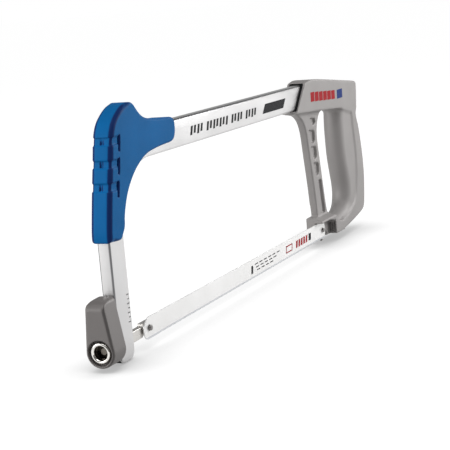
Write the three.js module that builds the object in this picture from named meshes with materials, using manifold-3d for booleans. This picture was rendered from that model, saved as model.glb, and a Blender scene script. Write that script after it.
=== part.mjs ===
// Hacksaw with a 12 inch blade held by two pins 300 mm apart.
// Millimetres. While the pieces are made, X runs along the blade from the front pin towards
// the handle, Y across the saw and Z up, with zero at the front pin hole. The whole group is
// then moved so that the origin is the middle of the bounding box, at its lowest point.
import * as THREE from "three";
import { mergeVertices } from "three/addons/utils/BufferGeometryUtils.js";
import Module from "manifold-3d";

const wasm = await Module();
wasm.setup();

// Driving dimensions
const GAP = 0.3; // clearance between neighbours
const PIN_SPACING = 300; // hole to hole on a 12 inch blade
const BLADE_WIDTH = 12.8;
const BLADE_THICK = 0.65;
const TOOTH_PITCH = 25.4 / 18;
const TUBE_WIDTH = 8;
const TUBE_DEPTH = 17.5;
const TUBE_WALL = 1.2;
const LEG_FRONT = -36.9; // front face of the leg
const BAR_UNDER = 96.5; // underside of the top bar
const BEND_INNER = 40; // inner radius of the bend
const LEG_FOOT = -12.4; // lowest point of the saw
const BAR_END = 296; // rear end of the bar, inside the handle
const GRIP_HALF = 6.5; // half width of the front grip
const HANDLE_HALF = 9.5; // half width of the handle
const GUARD_HALF = 3;
const HANDLE_BACK = 399;
const LEVER_FRONT = -53;
const ROD_RADIUS = 2.5; // M5 tension rod
const PIN_RADIUS = 1.65;
const PIN_45_RADIUS = 1.15;
const ROD_Z = -1.2; // height of the tension rod's axis
const PAST = 20; // how far a cut runs past the piece it cuts

const HALF = TUBE_WIDTH / 2;
const LEG_BACK = LEG_FRONT + TUBE_DEPTH;
const BAR_TOP = BAR_UNDER + TUBE_DEPTH;
const BLADE_BACK = -3.45; // face of the blade that lies on its seats
const SEAT = BLADE_BACK + 0.15; // plane of the two blade seats
const LEVER_BACK = LEG_FRONT - GAP;
const MID_X = (LEVER_FRONT + HANDLE_BACK) / 2;

// ---- helpers ----

function solid(geometry) {
  const flat = geometry.index ? geometry.toNonIndexed() : geometry;
  const bare = new THREE.BufferGeometry();
  bare.setAttribute("position", flat.getAttribute("position"));
  const merged = mergeVertices(bare, 1e-5);
  const mesh = new wasm.Mesh({
    numProp: 3,
    vertProperties: merged.attributes.position.array,
    triVerts: new Uint32Array(merged.index.array),
  });
  return new wasm.Manifold(mesh);
}

function geometryOf(body) {
  const mesh = body.getMesh();
  const geometry = new THREE.BufferGeometry();
  const positions = new THREE.BufferAttribute(new Float32Array(mesh.vertProperties), 3);
  geometry.setAttribute("position", positions);
  geometry.setIndex(new THREE.BufferAttribute(new Uint32Array(mesh.triVerts), 1));
  const flat = geometry.toNonIndexed();
  flat.computeVertexNormals();
  return flat;
}

// An outline in X and Z, given thickness in Y; its two rims can be rounded.
function plate(shape, yMin, yMax, round = 0, steps = 3, curveSegments = 8) {
  const geometry = new THREE.ExtrudeGeometry(shape, {
    depth: yMax - yMin - 2 * round,
    curveSegments,
    bevelEnabled: round > 0,
    bevelThickness: round,
    bevelSize: round,
    bevelOffset: -round,
    bevelSegments: steps,
  });
  geometry.translate(0, 0, round);
  geometry.rotateX(Math.PI / 2);
  geometry.translate(0, yMax, 0);
  return solid(geometry);
}

// An outline in Y and Z, given length in X; only its front rim can be rounded.
function beam(shape, xMin, xMax, round = 0, steps = 3, curveSegments = 8) {
  const geometry = new THREE.ExtrudeGeometry(shape, {
    depth: xMax - xMin - 2 * round,
    curveSegments,
    bevelEnabled: round > 0,
    bevelThickness: round,
    bevelSize: round,
    bevelOffset: -round,
    bevelSegments: steps,
  });
  geometry.translate(0, 0, round);
  const turn = new THREE.Matrix4().makeBasis(
    new THREE.Vector3(0, 1, 0),
    new THREE.Vector3(0, 0, 1),
    new THREE.Vector3(1, 0, 0),
  );
  geometry.applyMatrix4(turn);
  geometry.translate(xMin, 0, 0);
  return solid(geometry);
}

function box(xMin, xMax, yMin, yMax, zMin, zMax) {
  const geometry = new THREE.BoxGeometry(xMax - xMin, yMax - yMin, zMax - zMin);
  geometry.translate((xMin + xMax) / 2, (yMin + yMax) / 2, (zMin + zMax) / 2);
  return solid(geometry);
}

function rodX(radius, xMin, xMax, sides = 28) {
  const geometry = new THREE.CylinderGeometry(radius, radius, xMax - xMin, sides);
  geometry.rotateZ(-Math.PI / 2);
  geometry.translate((xMin + xMax) / 2, 0, 0);
  return solid(geometry);
}

function rodY(radius, yMin, yMax, x, z, sides = 24) {
  const geometry = new THREE.CylinderGeometry(radius, radius, yMax - yMin, sides);
  geometry.translate(x, (yMin + yMax) / 2, z);
  return solid(geometry);
}

function onRodAxis(body) {
  return body.translate([0, 0, ROD_Z]);
}

// A profile of [radius, x] pairs turned about the X axis.
function turnedX(profile, sides = 32) {
  const points = profile.map(([radius, x]) => new THREE.Vector2(radius, x));
  const geometry = new THREE.LatheGeometry(points, sides);
  geometry.rotateZ(-Math.PI / 2);
  return solid(geometry);
}

function polygon(points) {
  return new THREE.Shape(points.map(([x, z]) => new THREE.Vector2(x, z)));
}

const MOST_REACH = 0.4; // share of a side that one softened corner may take

// A closed outline softened at each corner by `round`, or by the corner's own third number
// (0 leaves it sharp).
function softPolygon(points, round) {
  const shape = new THREE.Shape();
  const corners = points.map(([x, z, own]) => ({ at: new THREE.Vector2(x, z), own: own ?? round }));
  corners.forEach((corner, i) => {
    const before = corners[(i + corners.length - 1) % corners.length].at;
    const after = corners[(i + 1) % corners.length].at;
    const reachIn = Math.min(corner.own, corner.at.distanceTo(before) * MOST_REACH);
    const reachOut = Math.min(corner.own, corner.at.distanceTo(after) * MOST_REACH);
    const start = corner.at.clone().add(before.clone().sub(corner.at).setLength(reachIn));
    const end = corner.at.clone().add(after.clone().sub(corner.at).setLength(reachOut));
    if (i === 0) shape.moveTo(start.x, start.y);
    else shape.lineTo(start.x, start.y);
    if (corner.own > 0) shape.quadraticCurveTo(corner.at.x, corner.at.y, end.x, end.y);
  });
  shape.closePath();
  return shape;
}

function hexagon(acrossFlats) {
  const radius = acrossFlats / Math.sqrt(3);
  const points = [];
  for (let i = 0; i < 6; i += 1) {
    const angle = (i * Math.PI) / 3;
    points.push([radius * Math.cos(angle), radius * Math.sin(angle)]);
  }
  return polygon(points);
}

const group = new THREE.Group();
group.name = "hacksaw";

function piece(name, body, color, roughness, metalness) {
  const material = new THREE.MeshStandardMaterial({ color, roughness, metalness });
  const mesh = new THREE.Mesh(geometryOf(body), material);
  mesh.name = name;
  group.add(mesh);
}

// ---- frame tube: front leg, bend and top bar ----

// Side outline of the tube, grown outwards by `grow` (negative: shrunk).
function tubeOutline(grow, foot, end, footRound) {
  const centreX = LEG_BACK + BEND_INNER;
  const centreZ = BAR_UNDER - BEND_INNER;
  const outer = BEND_INNER + TUBE_DEPTH + grow;
  const inner = BEND_INNER - grow;
  const front = LEG_FRONT - grow;
  const back = LEG_BACK + grow;
  const shape = new THREE.Shape();
  shape.moveTo(front, foot + footRound);
  shape.quadraticCurveTo(front, foot, front + footRound, foot);
  shape.lineTo(back - footRound, foot);
  shape.quadraticCurveTo(back, foot, back, foot + footRound);
  shape.lineTo(back, centreZ);
  shape.absarc(centreX, centreZ, inner, Math.PI, Math.PI / 2, true);
  shape.lineTo(end, BAR_UNDER - grow);
  shape.lineTo(end, BAR_TOP + grow);
  shape.absarc(centreX, centreZ, outer, Math.PI / 2, Math.PI, false);
  shape.closePath();
  return shape;
}

const FOOT_ROUND = 6;
const TONGUE_HALF = 2.5; // half width of the holder's tongue, inside the leg
const TONGUE_TALL = 3.25; // half height of it
const SCREW_SPOTS = [
  [280, 102],
  [289, 109.5],
];
const SCREW_RADIUS = 2;
const SCREW_HEAD_RADIUS = 3.5;
// tension scale pressed into the side of the leg
const TICKS = { count: 5, low: 10, pitch: 3.3, tall: 0.7, deep: 0.25, short: 1.6, long: 2.6 };

function frameTube() {
  const skin = plate(tubeOutline(0, LEG_FOOT, BAR_END, FOOT_ROUND), -HALF, HALF, 0.7, 2, 14);
  const hollow = plate(
    tubeOutline(-TUBE_WALL, LEG_FOOT - PAST, BAR_END + PAST, 0.5),
    -HALF + TUBE_WALL,
    HALF - TUBE_WALL,
    0,
    0,
    14,
  );
  let body = skin.subtract(hollow);
  body = body.subtract(onRodAxis(rodX(ROD_RADIUS + GAP, LEG_FRONT - 2, LEG_FRONT + 6)));
  const slotHalf = TONGUE_HALF + GAP;
  const slotTall = TONGUE_TALL + GAP;
  const slot = box(LEG_BACK - 4, LEG_BACK + 2, -slotHalf, slotHalf, -slotTall, slotTall);
  body = body.subtract(onRodAxis(slot));
  for (const [x, z] of SCREW_SPOTS) body = body.subtract(rodY(SCREW_RADIUS + GAP, 0, HALF + 2, x, z));
  for (let i = 0; i < TICKS.count; i += 1) {
    const z = TICKS.low + i * TICKS.pitch;
    const length = i % 2 ? TICKS.short : TICKS.long;
    const inner = LEG_BACK - TUBE_WALL;
    const floor = -HALF + TICKS.deep;
    body = body.subtract(box(inner - length, inner, -HALF - 1, floor, z, z + TICKS.tall));
  }
  return body;
}

function legPlug() {
  const side = TUBE_WIDTH / 2 - TUBE_WALL - GAP;
  const front = LEG_FRONT + TUBE_WALL + GAP;
  const back = LEG_BACK - TUBE_WALL - GAP;
  const round = FOOT_ROUND - TUBE_WALL - GAP;
  const low = LEG_FOOT + 0.2;
  const high = LEG_FOOT + 7.4;
  const outline = softPolygon(
    [
      [front, low, round],
      [back, low, round],
      [back, high, 0.5],
      [front, high, 0.5],
    ],
    round,
  );
  return plate(outline, -side, side);
}

// ---- front grip ----

// Front face of the grip, from its bottom rim up to the crown: [x, z] pairs.
const GRIP_FRONT = [
  [-39.3, 56.8, 0],
  [-39.3, 62, 6],
  [-35.4, 80, 10],
  [-29.8, 102, 10],
  [-27.2, 114, 8],
  [-22.4, 122.4, 6],
  [-10.5, 129.6, 6],
];
// The rest of its side outline, back along the bar and down the inside.
const GRIP_REST = [
  [0.4, 131, 4],
  [11.5, 120.4, 8],
  [28, 117.6, 8],
  [52.6, 116.4, 6],
  [54, 109, 7],
  [50.4, 101.8, 6],
  [30, 101.2, 10],
  [12, 99.2, 12],
  [-3, 91.8, 12],
  [-14, 81.4, 12],
  [-20.1, 69.2, 10],
  [-20.6, 63, 3],
  [-26.2, 56.8, 0],
];
const BAND_SPANS = [
  [109.2, 113.6],
  [96.9, 101.2],
  [84.6, 88.9],
];
const BAND_DEEP = 0.7;
const SLIT_BEHIND = 9.4; // from the front face of the grip to the slit in its side
const SLIT_TALL = 8.4;
const SLIT_DEEP = 1.4;

// Where the front face of the grip stands at a height.
function gripFrontAt(z) {
  for (let i = 1; i < GRIP_FRONT.length; i += 1) {
    const [x0, z0] = GRIP_FRONT[i - 1];
    const [x1, z1] = GRIP_FRONT[i];
    if (z <= z1) return x0 + ((x1 - x0) * (z - z0)) / (z1 - z0);
  }
  return GRIP_FRONT[GRIP_FRONT.length - 1][0];
}

function frontGrip() {
  const outline = softPolygon([...GRIP_FRONT, ...GRIP_REST], 4);
  let body = plate(outline, -GRIP_HALF, GRIP_HALF, 2, 3, 5);
  const sunken = softPolygon(
    [...GRIP_FRONT.map(([x, z, r]) => [x + BAND_DEEP, z, r]), ...GRIP_REST],
    4,
  );
  const core = plate(sunken, -GRIP_HALF + BAND_DEEP, GRIP_HALF - BAND_DEEP, 1.4, 3, 5);
  for (const [low, high] of BAND_SPANS) {
    const front = gripFrontAt((low + high) / 2);
    const slitX = front + SLIT_BEHIND;
    const band = box(front - PAST, slitX, -PAST, PAST, low, high).subtract(core);
    body = body.subtract(band);
    body = body.subtract(box(front - 3, front + 1.5, -0.6, 0.6, low + 0.2, high - 0.2));
    const slit = polygon([
      [slitX - 0.9, high + 0.3],
      [slitX + 1.3, high + 0.3],
      [slitX - 0.6, high - SLIT_TALL],
      [slitX - 2.8, high - SLIT_TALL],
    ]);
    body = body.subtract(plate(slit, -GRIP_HALF - 1, -GRIP_HALF + SLIT_DEEP));
    body = body.subtract(plate(slit, GRIP_HALF - SLIT_DEEP, GRIP_HALF + 1));
  }
  const around = tubeOutline(GAP, LEG_FOOT - 5, BAR_END, 0.5);
  return body.subtract(plate(around, -HALF - GAP, HALF + GAP, 0, 0, 14));
}

// ---- handle casting ----

const BLOCK = [
  [278.5, 115.4, 0],
  [288, 117, 7],
  [300, 116.6, 10],
  [340, 112.4, 12],
  [385, 107.7, 8],
  [391.8, 106.4, 4],
  [387.4, 76, 3],
  [370, 70, 3],
  [352, 86, 8],
  [345, 90.6, 3],
  [307, 91.8, 3],
  [258.4, 94.4, 0],
];
const REAR_GRIP = [
  [352, 99, 0],
  [350, 86, 10],
  [348.5, 72, 10],
  [349.5, 50, 10],
  [353, 37, 10],
  [357.5, 22, 10],
  [354, 11, 8],
  [334, 5.6, 6],
  [326, 5, 0],
  [326, -7.4, 0],
  [345, -6.4, 12],
  [357, -4.9, 12],
  [379, -1.8, 10],
  [393.4, 1, 7],
  [396.4, 12, 12],
  [399, 28, 16],
  [399, 42, 16],
  [395.4, 60, 12],
  [392, 71, 6],
  [387, 78, 6],
  [386, 99, 0],
];
// The outer strip of the grip, whose edges are rounded less than the finger side.
const GRIP_STRIP = [
  [340, -6.6, 0],
  [357, -4.5, 12],
  [378.5, -1.4, 10],
  [391.6, 1.6, 5],
  [394.8, 12, 8],
  [397.4, 27, 14],
  [397.4, 42, 16],
  [394, 60, 12],
  [391, 71, 6],
  [387, 78, 6],
  [386, 99, 0],
  [374, 99, 0],
  [376, 72, 10],
  [380, 50, 10],
  [378, 30, 10],
  [372, 12, 10],
  [352, 4, 6],
  [340, 2, 0],
];
const GUARD = [
  [257, 100, 0],
  [257, 95.4, 0],
  [270, 92.2, 6],
  [280, 86.6, 6],
  [285.5, 77, 6],
  [288, 60, 8],
  [292.5, 37, 8],
  [296.5, 6, 0],
  [322, 4, 0],
  [317.5, 14, 5],
  [315.4, 24, 8],
  [311, 50, 8],
  [307.2, 72, 8],
  [309.6, 82, 6],
  [319.5, 92.4, 4],
  [319.5, 100, 0],
];
const FOOT = [
  [287.4, 13.4, 0],
  [318, 13.4, 4],
  [333, 4.6, 4],
  [345, 2, 0],
  [345, -6.6, 0],
  [319, -6.4, 0],
  [317, -6.2, 0],
  [287.4, -6.2, 0],
];
const RECESS_ROOF = 6.9;
const RECESS_BACK = 318;
const MOUTH = 230; // in front of the handle, where the cuts for the bar begin
const FOOT_FRONT = 280; // the same for the cuts in its foot
const GROOVES = { count: 3, near: -8.3, pitch: 1.8, wide: 0.9 }; // upright, at its back
const POCKET_WIDE = 8.6;
const POCKET_DEEP = 1.3;
const COLLAR_GAP = 0.2; // around the collar, inside and out
const COLLAR_TOP = BAR_TOP + COLLAR_GAP + 0.7;
const COLLAR_HALF = 5.9;
const COLLAR_BACK = 284;
// front edge of the collar, from the underside of the bar to its own top
const SLANT = [
  [259.2, BAR_UNDER],
  [276.4, COLLAR_TOP],
];

// Scalloped pockets and one long slot in both faces of the guard.
function guardPockets() {
  const spots = [
    [300.6, 84.6, 5.4],
    [296.6, 73.4, 10],
    [298.4, 60.6, 10],
    [300.8, 47.8, 10],
  ];
  const side = POCKET_WIDE / 2;
  const outlines = spots.map(([x, z, tall]) =>
    softPolygon(
      [
        [x - side, z + tall / 2],
        [x + side, z + tall / 2],
        [x + side, z - tall / 2],
        [x - side + 4, z - tall / 2],
      ],
      3,
    ),
  );
  outlines.push(softPolygon([[302.4, 38], [309.6, 38], [313, 12], [306, 12]], 1.5));
  let pockets = null;
  for (const face of [-1, 1]) {
    const near = face * (GUARD_HALF - POCKET_DEEP);
    const far = face * (GUARD_HALF + 1);
    for (const outline of outlines) {
      const one = plate(outline, Math.min(near, far), Math.max(near, far), 0, 0, 4);
      pockets = pockets ? pockets.add(one) : one;
    }
  }
  return pockets;
}

// Cross section of the foot: its top falls away to both sides of the guard.
function footRoof() {
  const ridge = 2.4;
  const ridgeTop = 11;
  const eaves = HANDLE_HALF + 5;
  const eavesTop = 6.8;
  const shape = polygon([
    [-eaves, -PAST],
    [eaves, -PAST],
    [eaves, eavesTop],
    [ridge, ridgeTop],
    [-ridge, ridgeTop],
    [-eaves, eavesTop],
  ]);
  return beam(shape, FOOT_FRONT, 350);
}

function handle() {
  let body = plate(softPolygon(FOOT, 2), -HANDLE_HALF, HANDLE_HALF, 0.8, 2, 5);
  body = body.intersect(footRoof());
  body = body.add(plate(softPolygon(BLOCK, 3), -HANDLE_HALF, HANDLE_HALF, 1.5, 2, 5));
  body = body.add(plate(softPolygon(REAR_GRIP, 8), -HANDLE_HALF, HANDLE_HALF, 6, 4, 5));
  body = body.add(plate(softPolygon(GRIP_STRIP, 8), -HANDLE_HALF, HANDLE_HALF, 2, 3, 5));
  body = body.add(plate(softPolygon(GUARD, 4), -GUARD_HALF, GUARD_HALF, 0.9, 2, 5));
  // the side walls lean in towards the mouth of the socket
  const lean = { front: 250, back: 338, frontHalf: 6.3, low: 80, tall: 60 };
  for (const side of [-1, 1]) {
    const wedge = polygon([
      [lean.front, side * lean.frontHalf],
      [lean.back, side * HANDLE_HALF],
      [lean.back, side * (HANDLE_HALF + 6)],
      [lean.front, side * (HANDLE_HALF + 6)],
    ]);
    const geometry = new THREE.ExtrudeGeometry(wedge, { depth: lean.tall, bevelEnabled: false });
    geometry.translate(0, 0, lean.low);
    body = body.subtract(solid(geometry));
  }
  // socket for the bar and its collar, and the slanted mouth
  const tall = [BAR_UNDER - GAP, BAR_TOP + GAP];
  body = body.subtract(box(MOUTH, BAR_END + GAP, -HALF - GAP, HALF + GAP, ...tall));
  const half = COLLAR_HALF + COLLAR_GAP;
  const back = COLLAR_BACK + COLLAR_GAP;
  body = body.subtract(box(MOUTH, back, -half, half, BAR_UNDER - GAP, COLLAR_TOP + COLLAR_GAP));
  // recess for the rear end of the blade, its back wall grooved
  const cut = polygon([
    [FOOT_FRONT, RECESS_ROOF],
    [306.5, RECESS_ROOF],
    [RECESS_BACK, RECESS_ROOF - 2.2],
    [RECESS_BACK + 1.6, -PAST],
    [FOOT_FRONT, -PAST],
  ]);
  body = body.subtract(plate(cut, -PAST, SEAT));
  for (let i = 0; i < GROOVES.count; i += 1) {
    const y = GROOVES.near + i * GROOVES.pitch;
    body = body.subtract(box(RECESS_BACK - 1, RECESS_BACK + 2.4, y, y + GROOVES.wide, -PAST, 3.4));
  }
  body = body.subtract(box(FOOT_FRONT, 302, 2.8, PAST, -PAST, PAST));
  // lower edge of the seat cut back at 45 degrees, for the second pin
  const chamfer = new THREE.Shape();
  chamfer.moveTo(SEAT - 4, REAR_45_PLANE - SEAT + 4);
  chamfer.lineTo(SEAT + 8, REAR_45_PLANE - SEAT - 8);
  chamfer.lineTo(SEAT - 4, REAR_45_PLANE - SEAT - 8);
  body = body.subtract(beam(chamfer, FOOT_FRONT, 312));
  body = body.subtract(guardPockets());
  // pin holes
  body = body.subtract(rodY(PIN_RADIUS + 0.05, SEAT - 1, 3, PIN_SPACING, 0));
  body = body.subtract(pin45Body(PIN_SPACING, REAR_45, PIN_45_RADIUS + 0.05, 3, 4));
  // screws
  for (const [x, z] of SCREW_SPOTS) {
    body = body.subtract(rodY(SCREW_RADIUS + GAP, 0, PAST, x, z));
    body = body.subtract(rodY(SCREW_HEAD_RADIUS + 0.4, SCREW_HEAD_Y, PAST, x, z));
  }
  return body;
}

// ---- collar, insert and screws ----

const SCREW_HEAD_Y = 6.6; // plane the screw heads bear on

function socketCollar() {
  const outline = polygon([
    SLANT[1],
    SLANT[0],
    [COLLAR_BACK, BAR_UNDER],
    [COLLAR_BACK, COLLAR_TOP],
  ]);
  const body = plate(outline, -COLLAR_HALF, COLLAR_HALF, 0.2, 1);
  const half = HALF + COLLAR_GAP;
  let open = box(MOUTH, 300, -half, half, BAR_UNDER - 5, BAR_TOP + COLLAR_GAP);
  for (const [x, z] of SCREW_SPOTS) open = open.add(rodY(SCREW_RADIUS + GAP, 0, PAST, x, z));
  return body.subtract(open);
}

function barInsert() {
  const half = HALF - TUBE_WALL - GAP;
  const low = BAR_UNDER + TUBE_WALL + GAP;
  const high = BAR_TOP - TUBE_WALL - GAP;
  let body = box(270, BAR_END - 0.4, -half, half, low, high);
  for (const [x, z] of SCREW_SPOTS) body = body.subtract(rodY(SCREW_RADIUS + 0.1, -0.6, 5, x, z));
  return body;
}

function handleScrew(x, z) {
  const shank = rodY(SCREW_RADIUS, -0.3, SCREW_HEAD_Y + 0.3, x, z);
  const head = rodY(SCREW_HEAD_RADIUS, SCREW_HEAD_Y + 0.1, SCREW_HEAD_Y + 1.7, x, z, 28);
  let body = shank.add(head);
  // cross recess
  const arm = 2.1;
  const half = 0.45;
  const top = SCREW_HEAD_Y + 3;
  const low = SCREW_HEAD_Y + 0.8;
  body = body.subtract(box(x - arm, x + arm, low, top, z - half, z + half));
  body = body.subtract(box(x - half, x + half, low, top, z - arm, z + arm));
  return body;
}

// ---- blade holder, rod and pins ----

const TONGUE_END = -19.5; // the tongue is as wide as the leg allows up to here
const BAR_SIDES = [-2.5, 0.9]; // faces of the flat bar between leg and blade
const HEAD_FRONT = -5.5;
const HEAD_BACK = 5.5;
const HEAD_TOP = 3.6;
const ROD_JOIN = -28; // where the tongue ends and the rod stands out
const ROD_PIN_X = -24;
const ROD_PIN_RADIUS = 0.9;
const NECK_RADIUS = 1.65; // of the rod, inside the tongue
const FRONT_45 = { y: -1.7, z: -3.9 }; // where the axes of the 45 degree pins leave the metal
const REAR_45 = { y: -0.5, z: -5.2 };
const REAR_45_PLANE = REAR_45.y + REAR_45.z;
const FRONT_45_PLANE = FRONT_45.y + FRONT_45.z;

// A pin at 45 degrees, pointing down and towards the blade side.
function pin45Body(x, at, radius, inside, outside) {
  const geometry = new THREE.CylinderGeometry(radius, radius, inside + outside, 20);
  geometry.translate(0, (inside - outside) / 2, 0);
  geometry.rotateX(Math.PI / 4);
  geometry.translate(x, at.y, at.z);
  return solid(geometry);
}

function bladeHolder() {
  const low = ROD_Z - TONGUE_TALL;
  const high = ROD_Z + TONGUE_TALL;
  const [near, far] = BAR_SIDES;
  let body = box(ROD_JOIN, TONGUE_END, -TONGUE_HALF, TONGUE_HALF, low, high);
  body = body.add(box(TONGUE_END - 1, HEAD_FRONT + 1, near, far, low, high));
  const head = new THREE.Shape();
  head.moveTo(FRONT_45_PLANE - low, low);
  head.lineTo(far, low);
  head.lineTo(far, HEAD_TOP);
  head.lineTo(SEAT, HEAD_TOP);
  head.lineTo(SEAT, FRONT_45_PLANE - SEAT);
  head.closePath();
  body = body.add(beam(head, HEAD_FRONT, HEAD_BACK, 0.3, 1));
  body = body.subtract(onRodAxis(rodX(NECK_RADIUS + 0.1, ROD_JOIN - 1, TONGUE_END - 0.6, 20)));
  body = body.subtract(rodY(PIN_RADIUS + 0.05, SEAT - 1, 0.4, 0, 0));
  body = body.subtract(rodY(ROD_PIN_RADIUS + 0.05, -5, 5, ROD_PIN_X, ROD_Z, 16));
  return body.subtract(pin45Body(0, FRONT_45, PIN_45_RADIUS + 0.05, 1.9, 4));
}

function tensionRod() {
  const profile = [
    [0, -48],
    [ROD_RADIUS - 0.6, -48],
    [ROD_RADIUS, -47.4],
    [ROD_RADIUS, ROD_JOIN - 0.4],
    [NECK_RADIUS, ROD_JOIN - 0.4],
    [NECK_RADIUS, TONGUE_END - 0.8],
    [0, TONGUE_END - 0.8],
  ];
  const body = onRodAxis(turnedX(profile, 24));
  return body.subtract(rodY(ROD_PIN_RADIUS + 0.05, -5, 5, ROD_PIN_X, ROD_Z, 16));
}

function rodPin() {
  return rodY(ROD_PIN_RADIUS, -TONGUE_HALF + 0.05, TONGUE_HALF - 0.05, ROD_PIN_X, ROD_Z, 16);
}

function bladePin(x) {
  const tip = -5.6;
  const inner = x === 0 ? 0.3 : 2.8;
  const geometry = new THREE.LatheGeometry(
    [
      new THREE.Vector2(0, tip),
      new THREE.Vector2(PIN_RADIUS - 0.4, tip),
      new THREE.Vector2(PIN_RADIUS, tip + 0.4),
      new THREE.Vector2(PIN_RADIUS, inner),
      new THREE.Vector2(0, inner),
    ],
    24,
  );
  geometry.translate(x, 0, 0);
  return solid(geometry);
}

// ---- tension lever ----

const NUT_FLATS = 9; // hexagon that turns with the lever
const KEY_FLATS = 6.4; // socket in the nut's face
const RING_RADIUS = 5.9; // of the clip and the washer

// Across the lever, seen from the front: round the nut, and squarer at the thumb end.
function leverOutline() {
  const big = 8.8;
  const small = 3.4;
  const near = { y: -1.4, z: 25.8 };
  const far = { y: 3.4, z: 25.8 };
  const tangent = ({ y, z }, side) => Math.atan2(z, y) + side * Math.acos((big - small) / Math.hypot(y, z));
  const start = tangent(near, 1);
  const end = tangent(far, -1);
  const shape = new THREE.Shape();
  shape.absarc(0, 0, big, start, end + 2 * Math.PI, false);
  shape.absarc(far.y, far.z, small, end, Math.PI / 2, false);
  shape.absarc(near.y, near.z, small, Math.PI / 2, start, false);
  shape.closePath();
  return shape;
}

function tensionLever() {
  let body = beam(leverOutline(), LEVER_FRONT, LEVER_BACK, 1.5, 3, 14);
  const above = polygon([
    [LEVER_FRONT - 1, 23.6],
    [LEVER_FRONT, 24.7],
    [LEVER_FRONT + 2.2, 26.9],
    [LEVER_FRONT + 5.5, 28.3],
    [LEVER_FRONT + 9.5, 29],
    [LEVER_BACK + 1, 29.4],
    [LEVER_BACK + 1, 40],
    [LEVER_FRONT - 1, 40],
  ]);
  body = body.subtract(plate(above, -PAST, PAST));
  body = body.subtract(rodX(7.3, LEVER_FRONT - 2, LEVER_FRONT + 3.2, 40));
  body = body.subtract(beam(hexagon(NUT_FLATS + 2 * GAP), LEVER_FRONT, LEVER_BACK - 3.4));
  return onRodAxis(body.subtract(rodX(6.3, LEVER_BACK - 3.6, LEVER_BACK + 2, 32)));
}

function tensionNut() {
  const face = LEVER_FRONT + 0.5;
  const headBack = LEVER_FRONT + 2.9;
  const headRadius = 6.05;
  const head = turnedX([
    [0, face],
    [headRadius - 0.95, face],
    [headRadius, face + 0.6],
    [headRadius, headBack],
    [0, headBack],
  ], 40);
  let body = head.add(beam(hexagon(NUT_FLATS), headBack - 0.4, LEVER_BACK - 3.9));
  const groove = 3.5;
  const land = 4.2;
  body = body.add(turnedX([
    [0, LEVER_BACK - 4.2],
    [land, LEVER_BACK - 4.2],
    [land, LEVER_BACK - 3],
    [groove, LEVER_BACK - 3],
    [groove, LEVER_BACK - 1.8],
    [land, LEVER_BACK - 1.8],
    [land, LEVER_BACK - 1.3],
    [0, LEVER_BACK - 1.3],
  ], 32));
  body = body.subtract(beam(hexagon(KEY_FLATS), LEVER_FRONT - 1, LEVER_FRONT + 5));
  return onRodAxis(body.subtract(rodX(ROD_RADIUS + GAP, LEVER_FRONT - 1, LEVER_BACK + 2, 24)));
}

function ring(inner, outer, xMin, xMax) {
  return rodX(outer, xMin, xMax, 32).subtract(rodX(inner, xMin - 1, xMax + 1, 32));
}

function nutClip() {
  const body = ring(3.7, RING_RADIUS, LEVER_BACK - 2.7, LEVER_BACK - 2.1);
  return onRodAxis(body.subtract(box(LEVER_BACK - 4, LEVER_BACK, -1.2, 1.2, 0, 8)));
}

function thrustWasher() {
  return onRodAxis(ring(ROD_RADIUS + GAP, RING_RADIUS, LEVER_BACK - 1, LEVER_BACK));
}

// ---- blade ----

function blade() {
  const half = BLADE_WIDTH / 2;
  const front = -7;
  const back = PIN_SPACING + 5.8;
  const toothStart = 12;
  const toothEnd = PIN_SPACING - 8;
  const deep = 0.75;
  const shape = new THREE.Shape();
  shape.moveTo(front, -1.5);
  shape.quadraticCurveTo(front, -half, front + 5, -half);
  shape.lineTo(toothStart, -half);
  const count = Math.floor((toothEnd - toothStart) / TOOTH_PITCH);
  for (let i = 0; i < count; i += 1) {
    const x = toothStart + i * TOOTH_PITCH;
    shape.lineTo(x + 0.15, -half + deep);
    shape.lineTo(x + TOOTH_PITCH, -half);
  }
  shape.lineTo(back - 4, -half);
  shape.quadraticCurveTo(back, -half, back, -half + 4);
  shape.lineTo(back, half - 4);
  shape.quadraticCurveTo(back, half, back - 4, half);
  shape.lineTo(front + 7, half);
  shape.quadraticCurveTo(front + 5, half, front + 3.6, half - 1.6);
  shape.lineTo(front + 0.9, 2.6);
  shape.quadraticCurveTo(front, 1.6, front, 0.4);
  shape.closePath();
  const body = plate(shape, BLADE_BACK - BLADE_THICK, BLADE_BACK);
  const holes = [0, PIN_SPACING].map((x) => rodY(PIN_RADIUS + GAP, -8, 0, x, 0));
  return body.subtract(holes[0]).subtract(holes[1]);
}

piece("frame_tube", frameTube(), 0xd4d6d8, 0.34, 0.9);
piece("front_grip", frontGrip(), 0x2462a6, 0.62, 0);
piece("handle", handle(), 0x9fa1a3, 0.5, 0.45);
piece("socket_collar", socketCollar(), 0x18191b, 0.6, 0);
piece("bar_insert", barInsert(), 0x8c8f92, 0.5, 0.8);
piece("handle_screw_front", handleScrew(...SCREW_SPOTS[0]), 0xb6b9bc, 0.35, 1);
piece("handle_screw_rear", handleScrew(...SCREW_SPOTS[1]), 0xb6b9bc, 0.35, 1);
piece("leg_plug", legPlug(), 0x26282a, 0.6, 0);
piece("tension_lever", tensionLever(), 0x77787a, 0.5, 0.4);
piece("tension_nut", tensionNut(), 0xe4e6e8, 0.12, 1);
piece("nut_clip", nutClip(), 0x4a4c4f, 0.4, 0.9);
piece("thrust_washer", thrustWasher(), 0xb9bbbd, 0.35, 1);
piece("tension_rod", tensionRod(), 0xa6a9ac, 0.35, 1);
piece("rod_pin", rodPin(), 0x8b8e91, 0.35, 1);
piece("blade_holder", bladeHolder(), 0xc4c6c8, 0.35, 1);
piece("front_pin", bladePin(0), 0x6f7275, 0.3, 1);
piece("rear_pin", bladePin(PIN_SPACING), 0x6f7275, 0.3, 1);
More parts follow.
